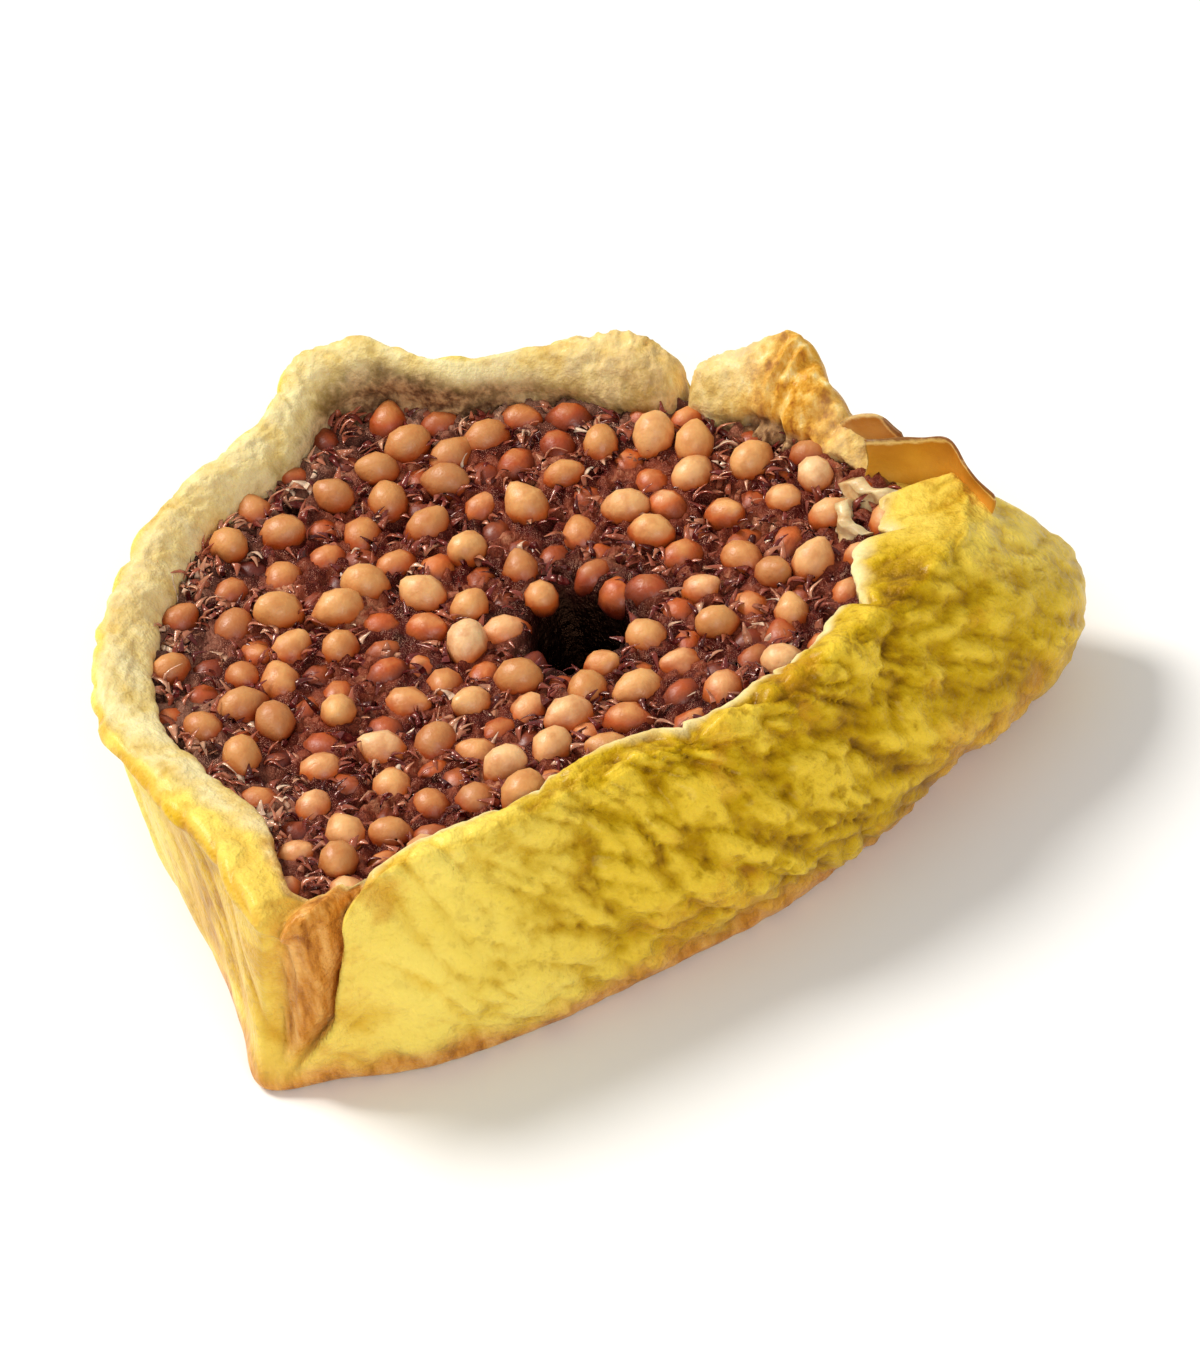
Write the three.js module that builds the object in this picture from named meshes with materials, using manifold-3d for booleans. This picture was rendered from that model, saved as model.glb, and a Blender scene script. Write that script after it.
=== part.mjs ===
// A dried slice cut across a green fig: a thick, lumpy disc that lies on one of its cut faces.
// The skin stands up round the edge and has curled in over the pulp, with a pinched fold at one
// corner. Both cut faces are pulp set with seeds, and the upper one has a small hollow in the middle.
// A fig grows as one piece, so the slice is one solid. Units are millimetres, +Z is up, and the
// origin is under the middle of the slice, on the surface it lies on.
import * as THREE from "three";
import { mergeVertices } from "three/addons/utils/BufferGeometryUtils.js";
import Module from "manifold-3d";

// Stations round the slice, anticlockwise from +X, at the corners of its outline and between them.
// Each holds its angle in degrees, the skin's distance from the middle at the foot, at the widest
// line and at the crest, the distance of the curled lip's edge, the height of the crest, and how far
// the lip hangs below the crest.
const stations = [
  { angle: 2, foot: 19.6, widest: 21.9, crest: 17.6, lip: 13.8, height: 10.2, droop: 0.3 },
  { angle: 7, foot: 18.7, widest: 20.5, crest: 17.3, lip: 14.0, height: 10.3, droop: 0.4 },
  { angle: 12, foot: 17.6, widest: 19.0, crest: 16.6, lip: 14.2, height: 9.2, droop: 0.6 },
  { angle: 24, foot: 15.8, widest: 16.9, crest: 15.3, lip: 13.7, height: 10.5, droop: 0.8 },
  { angle: 34, foot: 15.6, widest: 16.6, crest: 15.4, lip: 13.3, height: 11.2, droop: 1.2 },
  { angle: 42, foot: 15.8, widest: 16.8, crest: 16.0, lip: 13.2, height: 12.7, droop: 2.2 },
  { angle: 52, foot: 15.2, widest: 16.0, crest: 14.9, lip: 12.9, height: 11.6, droop: 1.7 },
  { angle: 62, foot: 15.0, widest: 15.8, crest: 14.7, lip: 12.9, height: 9.6, droop: 0.4 },
  { angle: 70, foot: 15.2, widest: 16.0, crest: 15.2, lip: 12.6, height: 11.5, droop: 1.8 },
  { angle: 79, foot: 15.4, widest: 16.2, crest: 15.2, lip: 13.2, height: 11.6, droop: 1.6 },
  { angle: 92, foot: 15.2, widest: 16.1, crest: 15.4, lip: 14.3, height: 11.4, droop: 1.1 },
  { angle: 104, foot: 15.8, widest: 16.8, crest: 16.0, lip: 14.9, height: 11.8, droop: 1.2 },
  { angle: 112, foot: 17.5, widest: 18.7, crest: 18.5, lip: 16.8, height: 12.3, droop: 1.4 },
  { angle: 120, foot: 18.8, widest: 20.0, crest: 20.0, lip: 17.9, height: 12.0, droop: 1.6 },
  { angle: 130, foot: 17.8, widest: 19.2, crest: 18.7, lip: 16.9, height: 11.3, droop: 1.5 },
  { angle: 148, foot: 18.4, widest: 19.9, crest: 19.7, lip: 17.9, height: 11.0, droop: 1.5 },
  { angle: 168, foot: 19.6, widest: 20.5, crest: 20.4, lip: 18.4, height: 11.0, droop: 1.3 },
  { angle: 187, foot: 19.8, widest: 20.4, crest: 21.3, lip: 18.9, height: 10.9, droop: 0.9 },
  { angle: 203, foot: 20.3, widest: 20.6, crest: 21.0, lip: 18.6, height: 10.8, droop: 0.6 },
  { angle: 216, foot: 22.4, widest: 21.8, crest: 21.4, lip: 18.7, height: 10.7, droop: 0.5 },
  { angle: 224, foot: 24.6, widest: 23.5, crest: 22.9, lip: 20.5, height: 10.6, droop: 0.3 },
  { angle: 231, foot: 22.7, widest: 23.4, crest: 23.8, lip: 21.9, height: 10.5, droop: 0.2 },
  { angle: 240, foot: 20.9, widest: 21.2, crest: 20.0, lip: 18.2, height: 11.3, droop: 0.3 },
  { angle: 251, foot: 18.3, widest: 19.0, crest: 17.0, lip: 14.7, height: 10.9, droop: 0.4 },
  { angle: 268, foot: 15.5, widest: 16.6, crest: 13.8, lip: 11.7, height: 10.9, droop: 0.4 },
  { angle: 290, foot: 14.4, widest: 15.8, crest: 13.4, lip: 11.7, height: 10.9, droop: 0.4 },
  { angle: 312, foot: 14.2, widest: 15.8, crest: 13.8, lip: 12.0, height: 10.8, droop: 0.4 },
  { angle: 332, foot: 15.0, widest: 17.6, crest: 14.8, lip: 12.4, height: 10.7, droop: 0.4 },
  { angle: 350, foot: 17.4, widest: 21.0, crest: 17.0, lip: 12.5, height: 10.6, droop: 0.4 },
];

const widestHeight = 4.6;
const footRound = 0.6; // how far the skin's lower edge is rounded off
const footWidth = 2.6; // the flat ring that the slice stands on
const undersideDepth = 1.6; // how far the lower pulp has shrunk up from the ring
const pulpHeight = 8.6; // where the upper pulp meets the rim
const pulpDish = 0.8; // how much lower the pulp is in the middle than at the rim

const hollow = { x: -0.5, y: -0.3, radius: 1.8, depth: 4.2 };
const fold = { angle: 230, halfWidth: 4, creaseWidth: 2.5, creaseDepth: 0.9 }; // degrees and mm
const wrinkles = { count: 23, depth: 0.25 };

// A thin sheet of flesh that stands up out of the rim, with the plan of its inner side.
const sheet = {
  plan: [[13.3, 3.9], [14.8, 4.0], [16.4, 3.0], [17.6, 1.2]],
  thickness: 0.5,
  bottom: 7.4,
  top: 11.4,
};

// Seeds lie in the pulp of both cut faces. Sunk is how far, in radii, a seed's middle is above the pulp.
const seeds = { radius: 0.95, stretch: 1.2, sunk: 0.25, upperSpacing: 2.5, lowerSpacing: 3.1, margin: 1.2 };
const seedWobble = 0.35; // how far a seed is off its place on the spiral
const hollowRim = 1; // the pulp round the hollow has no seeds

const segments = 96;
const lipPoint = 14; // the lip's edge, counted along the cross-section
const farthest = Math.max(...stations.map((station) => station.foot));
const up = new THREE.Vector3(0, 0, 1);
const goldenAngle = Math.PI * (3 - Math.sqrt(5));

// A closed smooth curve through one distance of every station, at a height that each station gives.
function ring(key, heightOf) {
  const points = stations.map((station) => {
    const angle = THREE.MathUtils.degToRad(station.angle);
    return new THREE.Vector3(station[key], 0, heightOf(station)).applyAxisAngle(up, angle);
  });
  return new THREE.CatmullRomCurve3(points, true, "catmullrom", 0.5);
}

const rings = {
  foot: ring("foot", () => 0),
  widest: ring("widest", () => widestHeight),
  crest: ring("crest", (station) => station.height),
  lip: ring("lip", (station) => station.height - station.droop),
};

// 1 at the middle of a bell curve, falling to nothing a few widths away. Angles are in degrees.
function bell(angle, middle, width) {
  const off = ((angle - middle + 540) % 360) - 180;
  return Math.exp(-((off / width) ** 2));
}

// How far the skin is drawn in by the wrinkles and by the two creases beside the fold.
function drawnIn(angle) {
  const degrees = THREE.MathUtils.radToDeg(angle);
  const swell = 0.65 + 0.35 * Math.sin(5 * angle + 1);
  const wrinkle = wrinkles.depth * swell * Math.sin(wrinkles.count * angle);
  const creases =
    bell(degrees, fold.angle - fold.halfWidth, fold.creaseWidth) +
    bell(degrees, fold.angle + fold.halfWidth, fold.creaseWidth);
  return wrinkle + fold.creaseDepth * creases;
}

// A point farther out than another by some millimetres, at a height of its own.
function beside(point, outwards, z) {
  const flat = point.clone().setZ(0);
  return flat.setLength(flat.length() + outwards).setZ(z);
}

// The slice's cross-section at a turn from 0 to 1, as points from the middle of the underside, out
// and up the skin, over the lip and back in along the pulp to the hollow's floor.
function section(turn) {
  const foot = rings.foot.getPoint(turn);
  const widest = rings.widest.getPoint(turn);
  const crest = rings.crest.getPoint(turn);
  const lip = rings.lip.getPoint(turn);
  const height = crest.z;
  const lipDistance = Math.hypot(lip.x, lip.y);
  const inwards = drawnIn(Math.atan2(widest.y, widest.x));
  const between = (share, z) => beside(widest.clone().lerp(crest, share), -inwards, z);
  const inside = (point, share, z) => point.clone().multiplyScalar(share).setZ(z);
  const ringInside = beside(foot, -footRound - footWidth, 0);
  const mix = THREE.MathUtils.lerp;
  return [
    inside(ringInside, 0, undersideDepth),
    inside(ringInside, 0.35, undersideDepth),
    inside(ringInside, 0.7, undersideDepth),
    beside(ringInside, -0.4, undersideDepth),
    ringInside,
    beside(foot, -footRound, 0),
    beside(foot, -inwards * 0.4, footRound),
    beside(foot.clone().lerp(widest, 0.75), -inwards, widestHeight * 0.5),
    between(0, widestHeight),
    between(0.3, mix(widestHeight, height, 0.45)),
    between(0.7, mix(widestHeight, height, 0.78)),
    beside(crest, 0.35 - inwards * 0.8, height - 0.5),
    beside(crest, -0.25 - inwards * 0.6, height),
    beside(crest.clone().lerp(lip, 0.6), -inwards * 0.4, mix(height, lip.z, 0.3)),
    beside(lip, 0, lip.z),
    beside(lip, 0.1, mix(lip.z, pulpHeight, 0.5)),
    beside(lip, 0.2, mix(lip.z, pulpHeight, 0.95)),
    inside(lip, 0.85, pulpHeight),
    inside(lip, 0.6, pulpHeight - pulpDish * 0.6),
    inside(lip, 0.35, pulpHeight - pulpDish),
    inside(lip, hollow.radius / lipDistance, pulpHeight - pulpDish - 0.2),
    inside(lip, (hollow.radius * 0.7) / lipDistance, pulpHeight - pulpDish - hollow.depth * 0.8),
    inside(lip, 0, pulpHeight - pulpDish - hollow.depth),
  ];
}

// The slice without its seeds: a lathe whose every section is set to the shape at its own turn.
// The upper pulp is pulled sideways, more towards the middle, to put the hollow in its place.
function bodyGeometry() {
  const plain = section(0);
  const profile = plain.map((point) => new THREE.Vector2(Math.hypot(point.x, point.y), point.z));
  const geometry = new THREE.LatheGeometry(profile, segments);
  const position = geometry.getAttribute("position");
  for (let i = 0; i < position.count; i += 1) {
    const points = section((Math.floor(i / plain.length) % segments) / segments);
    const place = i % plain.length;
    const { x, y, z } = points[place];
    const lip = points[lipPoint];
    const shift = place > lipPoint ? Math.max(0, 1 - Math.hypot(x, y) / Math.hypot(lip.x, lip.y)) : 0;
    position.setXYZ(i, x + hollow.x * shift, y + hollow.y * shift, z);
  }
  return geometry;
}

// Whether a place on a face is inside the face's edge with the margin to spare.
function wellInside(edge, place) {
  const nearest = edge.reduce((a, b) => (place.distanceTo(a) < place.distanceTo(b) ? a : b));
  return place.length() < nearest.length() && place.distanceTo(nearest) > seeds.margin;
}

// Seeds on a face, each with its place and its turn: an even golden-angle spiral, cut off at the edge.
function placeSeeds(spacing, edge) {
  const placed = [];
  const count = (farthest / spacing) ** 2 * Math.PI;
  for (let k = 0; k < count; k += 1) {
    const distance = spacing * Math.sqrt((k + 0.5) / Math.PI) + seedWobble * Math.sin(k * k);
    const place = new THREE.Vector2(distance, 0).rotateAround(new THREE.Vector2(), k * goldenAngle);
    if (wellInside(edge, place)) {
      placed.push({ place, turn: k * goldenAngle + 2 * Math.sin(k * 7) });
    }
  }
  return placed;
}

// One seed, set in pulp whose surface is at the height given.
function seedGeometry({ place, turn }, pulp) {
  const geometry = new THREE.IcosahedronGeometry(seeds.radius, 0);
  geometry.scale(seeds.stretch, 1, 1);
  geometry.rotateZ(turn);
  geometry.translate(place.x, place.y, pulp + seeds.radius * seeds.sunk);
  return geometry;
}

const wasm = await Module();
wasm.setup();

// A closed three.js geometry as a manifold-3d solid.
function solid(geometry) {
  const bare = geometry.clone();
  bare.deleteAttribute("normal");
  bare.deleteAttribute("uv");
  const merged = mergeVertices(bare, 1e-4);
  const index = merged.index.array;
  const faces = [];
  for (let i = 0; i < index.length; i += 3) {
    const [a, b, c] = index.slice(i, i + 3);
    if (a !== b && b !== c && c !== a) {
      faces.push(a, b, c);
    }
  }
  return new wasm.Manifold(
    new wasm.Mesh({
      numProp: 3,
      vertProperties: merged.getAttribute("position").array,
      triVerts: new Uint32Array(faces),
    })
  );
}

function geometryOf(manifold) {
  const mesh = manifold.getMesh();
  const geometry = new THREE.BufferGeometry();
  geometry.setAttribute("position", new THREE.BufferAttribute(mesh.vertProperties, 3));
  geometry.setIndex(new THREE.BufferAttribute(mesh.triVerts, 1));
  return geometry;
}

// The standing sheet: a strip with the plan of its inner side and an outer side beside that, pulled up.
function sheetGeometry() {
  const inner = new THREE.SplineCurve(sheet.plan.map(([x, y]) => new THREE.Vector2(x, y))).getPoints(8);
  const outer = inner.map((point) => point.clone().setLength(point.length() + sheet.thickness));
  const outline = new THREE.Shape([...inner, ...outer.reverse()]);
  const depth = sheet.top - sheet.bottom;
  const geometry = new THREE.ExtrudeGeometry(outline, { depth, bevelEnabled: false });
  geometry.translate(0, 0, sheet.bottom);
  return geometry;
}

function sliceGeometry() {
  const flat = (point) => new THREE.Vector2(point.x, point.y);
  const faceEdge = rings.lip.getPoints(segments).map(flat);
  const undersideEdge = rings.foot
    .getPoints(segments)
    .map((point) => flat(beside(point, -footRound - footWidth, 0)));
  const hollowMiddle = new THREE.Vector2(hollow.x, hollow.y);
  let slice = solid(bodyGeometry()).add(solid(sheetGeometry()));
  for (const seed of placeSeeds(seeds.upperSpacing, faceEdge)) {
    if (seed.place.distanceTo(hollowMiddle) > hollow.radius + hollowRim) {
      slice = slice.add(solid(seedGeometry(seed, pulpHeight - pulpDish * 0.8)));
    }
  }
  for (const seed of placeSeeds(seeds.lowerSpacing, undersideEdge)) {
    slice = slice.add(solid(seedGeometry(seed, undersideDepth)));
  }
  const geometry = geometryOf(slice).toNonIndexed();
  geometry.computeVertexNormals();
  geometry.computeBoundingBox();
  const box = geometry.boundingBox;
  const middle = box.getCenter(new THREE.Vector3());
  geometry.translate(-middle.x, -middle.y, -box.min.z);
  return geometry;
}

const skin = new THREE.MeshStandardMaterial({ color: 0xc9b83a, roughness: 0.6, metalness: 0 });

const figSlice = new THREE.Mesh(sliceGeometry(), skin);
figSlice.name = "fig_slice";

const group = new THREE.Group();
group.add(figSlice);

export default group;
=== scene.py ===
import math
import random

import bmesh
import bpy
from mathutils import Matrix, Vector, noise
from mathutils.kdtree import KDTree


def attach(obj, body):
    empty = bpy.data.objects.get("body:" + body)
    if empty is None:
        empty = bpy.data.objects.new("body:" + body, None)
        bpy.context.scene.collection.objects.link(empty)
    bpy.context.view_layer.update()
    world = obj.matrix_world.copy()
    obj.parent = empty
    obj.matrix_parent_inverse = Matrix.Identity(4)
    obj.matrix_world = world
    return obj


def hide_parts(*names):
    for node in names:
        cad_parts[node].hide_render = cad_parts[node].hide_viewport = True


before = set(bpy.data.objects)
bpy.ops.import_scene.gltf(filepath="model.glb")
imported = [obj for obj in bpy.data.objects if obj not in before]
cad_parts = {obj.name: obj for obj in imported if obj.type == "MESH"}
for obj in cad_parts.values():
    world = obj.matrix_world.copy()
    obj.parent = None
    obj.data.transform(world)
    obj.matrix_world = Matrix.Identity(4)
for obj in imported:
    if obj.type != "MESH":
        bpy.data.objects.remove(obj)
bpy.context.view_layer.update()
node = "fig_slice"

mm = 0.001  # pieces are shaped in millimetres and scaled to metres when they are finished
full = 2 * math.pi
halfLength, halfWidth = 25.0, 23.0  # the box round the slice in which pulp, seeds and fibres are laid out
noise.seed_set(3)  # or else the noise vectors would follow the clock


def splineValue(a, b, c, d, f):  # Catmull-Rom, from b at 0 to c at 1
    bend, twist = 2 * a - 5 * b + 4 * c - d, 3 * b - a - 3 * c + d
    return 0.5 * (2 * b + (c - a) * f + bend * f * f + twist * f ** 3)


def around(values, turn):  # smooth closed curve through evenly spaced values, turn is 0 to 1
    place = (turn % 1.0) * len(values)
    i, f = int(place), place - int(place)
    a, b, c, d = (values[(i + k - 1) % len(values)] for k in range(4))
    return splineValue(a, b, c, d, f)


def bell(x, middle, width):
    return math.exp(-(((x - middle) / width) ** 2))


def rise(low, high, x):  # smooth step from 0 to 1
    f = min(1.0, max(0.0, (x - low) / (high - low)))
    return f * f * (3 - 2 * f)


def mix(a, b, f):
    return a + (b - a) * f


def ridged(point):  # sharp ridges at 1, soft hollows below
    return 1 - 2 * abs(noise.noise(point))


def puffy(point):  # round swellings with creases between them
    return 1 - (1 - min(1.0, 1.2 * abs(noise.noise(point)))) ** 2


def srgb(text):  # "#rrggbb" to a linear colour
    parts = [int(text[i:i + 2], 16) / 255 for i in (1, 3, 5)]
    return [p / 12.92 if p <= 0.04045 else ((p + 0.055) / 1.055) ** 2.4 for p in parts] + [1.0]


def addNode(tree, kind, inputs=None, **settings):
    made = tree.nodes.new(kind)
    for key, value in settings.items():
        setattr(made, key, value)
    for key, value in (inputs or {}).items():
        if isinstance(value, bpy.types.NodeSocket):
            tree.links.new(value, made.inputs[key])
        else:
            made.inputs[key].default_value = value
    return made


def newMaterial(name):
    material = bpy.data.materials.new(name)
    material.use_nodes = True
    tree = material.node_tree
    tree.nodes.clear()
    shader = addNode(tree, "ShaderNodeBsdfPrincipled")
    addNode(tree, "ShaderNodeOutputMaterial", {"Surface": shader.outputs["BSDF"]})
    place = addNode(tree, "ShaderNodeTexCoord").outputs["Object"]
    return material, tree, shader, place


def noiseNode(tree, place, size, detail=3.0, rough=0.55):  # size is the width of a blotch in mm
    inputs = {"Vector": place, "Scale": 1 / (size * mm), "Detail": detail, "Roughness": rough}
    return addNode(tree, "ShaderNodeTexNoise", inputs).outputs["Fac"]


def rampNode(tree, value, stops):  # stops are (place, "#rrggbb")
    ramp = addNode(tree, "ShaderNodeValToRGB", {"Fac": value})
    marks = ramp.color_ramp.elements
    while len(marks) < len(stops):
        marks.new(0.5)
    for mark, (where, colour) in zip(marks, stops):
        mark.position = where
        mark.color = srgb(colour)
    return ramp.outputs["Color"]


def rangeNode(tree, value, low, high, toLow=0.0, toHigh=1.0):
    return addNode(tree, "ShaderNodeMapRange",
                   {"Value": value, "From Min": low, "From Max": high, "To Min": toLow, "To Max": toHigh},
                   interpolation_type="SMOOTHSTEP").outputs["Result"]


def mathNode(tree, how, a, b):
    return addNode(tree, "ShaderNodeMath", {0: a, 1: b}, operation=how).outputs[0]


def mixNode(tree, fac, a, b, how="MIX"):
    made = addNode(tree, "ShaderNodeMix", data_type="RGBA", blend_type=how)
    for socket, value in ((made.inputs[0], fac), (made.inputs[6], a), (made.inputs[7], b)):
        if isinstance(value, bpy.types.NodeSocket):
            tree.links.new(value, socket)
        else:
            socket.default_value = srgb(value) if isinstance(value, str) else value
    return made.outputs[2]


def attributeNode(tree, name):
    return addNode(tree, "ShaderNodeAttribute", attribute_name=name).outputs["Fac"]


def bumpNode(tree, height, depth, before=None):  # depth in mm
    inputs = {"Height": height, "Distance": depth * mm, "Strength": 1.0}
    if before:
        inputs["Normal"] = before
    return addNode(tree, "ShaderNodeBump", inputs).outputs["Normal"]


# The rind is the skin and the pale flesh under it. Each row is a place round the slice, anticlockwise
# from +X, with its angle, then distances from the middle, heights and lengths in mm, then shares.
rind = {
    "columns": ("angle", "foot", "widest", "crest", "lip", "height", "droop", "thick", "under", "jag",
                "cream", "green", "rough", "gold"),
    "places": (
        (2, 19.6, 21.9, 17.6, 13.8, 10.2, 0.3, 0.5, 0.8, 0.2, 0.0, 0.5, 0.4, 0.25),
        (7, 18.7, 20.5, 17.3, 14.0, 10.3, 0.4, 0.5, 0.6, 0.2, 0.05, 0.4, 0.4, 0.25),
        (12, 17.6, 19.0, 16.6, 14.2, 9.2, 0.6, 0.6, 0.2, 0.2, 0.2, 0.3, 0.5, 0.3),
        (24, 15.8, 16.9, 15.3, 13.7, 10.5, 0.8, 0.8, -0.3, 0.25, 0.8, 0.2, 0.25, 0.55),
        (34, 15.6, 16.6, 15.4, 13.3, 11.2, 1.2, 0.9, -0.4, 0.25, 0.9, 0.1, 0.2, 0.95),
        (42, 15.8, 16.8, 16.0, 13.2, 12.7, 2.2, 1.0, -0.5, 0.25, 0.9, 0.1, 0.25, 0.9),
        (52, 15.2, 16.0, 14.9, 12.9, 11.6, 1.7, 1.0, -0.5, 0.3, 1.0, 0.2, 0.5, 0.25),
        (62, 15.0, 15.8, 14.7, 12.9, 10.6, 1.0, 1.0, -0.4, 0.2, 1.0, 0.3, 0.5, 0.45),
        (70, 15.2, 16.0, 15.2, 12.6, 11.5, 1.8, 1.1, -0.4, 0.35, 1.0, 0.3, 0.5, 0.4),
        (79, 15.4, 16.2, 15.2, 13.2, 11.6, 1.6, 1.1, -0.4, 0.3, 1.0, 0.3, 0.5, 0.3),
        (92, 15.2, 16.1, 15.4, 14.3, 11.4, 1.1, 1.0, -0.3, 0.12, 0.9, 0.3, 0.5, 0.15),
        (104, 15.8, 16.8, 16.0, 14.9, 11.8, 1.2, 1.0, -0.3, 0.12, 0.9, 0.3, 0.5, 0.05),
        (112, 17.5, 18.7, 18.5, 16.8, 12.3, 1.4, 1.3, -0.6, 0.2, 1.0, 0.3, 0.5, 0.05),
        (120, 18.8, 20.0, 20.0, 17.9, 12.0, 1.6, 1.4, -0.8, 0.25, 1.0, 0.2, 0.5, 0.1),
        (130, 17.8, 19.2, 18.7, 16.9, 11.3, 1.5, 1.4, -0.6, 0.3, 1.0, 0.2, 0.5, 0.1),
        (148, 18.4, 19.9, 19.7, 17.9, 11.0, 1.5, 1.3, -0.5, 0.3, 1.0, 0.2, 0.5, 0.2),
        (168, 19.6, 20.5, 20.4, 18.4, 11.0, 1.3, 1.1, -0.3, 0.3, 0.95, 0.2, 0.5, 0.25),
        (187, 19.8, 20.4, 21.3, 18.9, 10.9, 0.9, 0.9, -0.1, 0.3, 0.8, 0.2, 0.45, 0.05),
        (203, 20.3, 20.6, 21.0, 18.6, 10.8, 0.6, 0.8, 0.2, 0.3, 0.6, 0.2, 0.22, 0.1),
        (216, 22.4, 21.8, 21.4, 18.7, 10.7, 0.5, 0.7, 0.4, 0.2, 0.25, 0.1, 0.25, 0.2),
        (224, 24.6, 23.5, 22.9, 20.5, 10.6, 0.3, 0.7, 0.3, 0.1, 0.0, 0.1, 0.25, 0.6),
        (231, 22.7, 23.4, 23.8, 21.9, 10.5, 0.2, 0.7, 0.3, 0.1, 0.0, 0.1, 0.3, 0.6),
        (240, 20.9, 21.2, 20.0, 18.2, 11.3, 0.3, 0.5, 0.8, 0.2, 0.0, 0.25, 0.6, 0.1),
        (251, 18.3, 19.0, 17.0, 14.7, 10.9, 0.35, 0.5, 1.2, 0.35, 0.0, 0.45, 0.8, 0.0),
        (268, 15.5, 16.6, 13.8, 11.7, 10.9, 0.35, 0.5, 1.2, 0.35, 0.0, 0.7, 1.15, 0.1),
        (290, 14.4, 15.8, 13.4, 11.7, 10.9, 0.35, 0.5, 1.2, 0.35, 0.0, 0.8, 1.3, 0.1),
        (312, 14.2, 15.8, 13.8, 12.0, 10.8, 0.35, 0.5, 1.2, 0.35, 0.0, 0.9, 1.2, 0.1),
        (332, 15.0, 17.6, 14.8, 12.4, 10.7, 0.35, 0.5, 1.1, 0.3, 0.0, 0.85, 0.9, 0.1),
        (350, 17.4, 21.0, 17.0, 12.5, 10.6, 0.35, 0.5, 1.0, 0.25, 0.05, 0.7, 0.6, 0.1),
    ),
    "widestHeight": 4.6,
    # where the skin's edge dips, or rises: angle, width in degrees, depth in mm
    "dips": ((61.5, 1.5, 2.2), (229.6, 1.2, 0.75), (232.6, 1.6, 0.1), (235.5, 1.1, 1.1), (28, 2.0, 0.5)),
    # where the lip is torn back: angle, how many degrees the tear fades over, depth in mm
    "tears": ((257, -5, 0.7), (286, -3, 0.45), (310, -2.5, 0.35), (334, 7, 1.1), (355.5, 4, 1.3)),
    "around": 672, "across": 112,  # steps round the slice and round its section
}
fold = {  # the pinch at one corner, a tongue of brown flesh between two edges, in degrees and mm
    "left": 229.4, "leftLean": 0.45, "right": 236.2, "rightLean": 0.5, "narrowing": 1.2,
    "top": 10.5, "depth": 0.8, "swell": 0.4, "pleats": 0.4,
}
sectionMarks = 14  # control points round the section, from the widest line up and over the lip
column = {name: [place[i] for place in rind["places"]] for i, name in enumerate(rind["columns"])}
ring = {
    key: [Vector((out * math.cos(math.radians(a)), out * math.sin(math.radians(a)), 0))
          for a, out in zip(column["angle"], column[key])]
    for key in ("foot", "widest", "crest", "lip")
}


def measureRing(key):  # how far out a ring is, at each half degree
    table = [0.0] * 720
    for i in range(7200):
        p = around(ring[key], i / 7200)
        table[int(math.degrees(math.atan2(p.y, p.x)) % 360 * 2) % 720] = p.length
    return table


reach = {key: measureRing(key) for key in ring}


def ringAt(key, x, y):
    return reach[key][int(math.degrees(math.atan2(y, x)) % 360 * 2) % 720]


def degreesOf(point):
    return math.degrees(math.atan2(point.y, point.x)) % 360


def beside(point, outwards, z):  # farther out by some mm, at a height of its own
    flat = Vector((point.x, point.y, 0))
    return flat * (1 + outwards / flat.length) + Vector((0, 0, z))


def lipJag(spot, turn):  # how far the torn edge of the skin reaches in past its plain line
    quick = noise.noise(spot * 0.8 + Vector((9, 4, 2)))
    fine = noise.noise(spot * 2.2 + Vector((1, 5, 3)))
    jag = around(column["jag"], turn) * (noise.noise(spot * 0.26) + 0.9 * quick + 0.35 * fine)
    for angle, fade, depth in rind["tears"]:
        off = ((degreesOf(spot) - angle + 180) % 360 - 180) / fade
        jag -= depth * (rise(-0.12, 0.0, off) * math.exp(-max(0.0, off) * 1.6))
    return jag


def sectionPoints(turn):
    foot, widest, crest, lip = (around(ring[key], turn) for key in ("foot", "widest", "crest", "lip"))
    height, droop, thick, under = (around(column[key], turn) for key in ("height", "droop", "thick", "under"))
    lip = beside(lip, -lipJag(lip, turn), 0)
    height -= sum(depth * bell(degreesOf(crest), angle, width) for angle, width, depth in rind["dips"])
    middle = rind["widestHeight"]
    return [
        beside(widest, 0, middle),
        beside(widest.lerp(crest, 0.3), 0, mix(middle, height, 0.45)),
        beside(widest.lerp(crest, 0.7), 0, mix(middle, height, 0.78)),
        beside(crest, 0.35, height - 0.5),
        beside(crest, -0.25, height),
        beside(crest.lerp(lip, 0.6), 0, height - droop * 0.3),
        beside(lip, 0, height - droop),
        beside(lip, 0.1, height - droop - thick),
        beside(lip, under, height - droop - thick - 1.2),
        beside(foot, -3.7, 2.6),
        beside(foot, -2.7, 0.1),
        beside(foot, -1.4, 0.0),
        beside(foot, -0.25, 0.35),
        beside(foot.lerp(widest, 0.7), 0, middle * 0.5),
    ]


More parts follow.
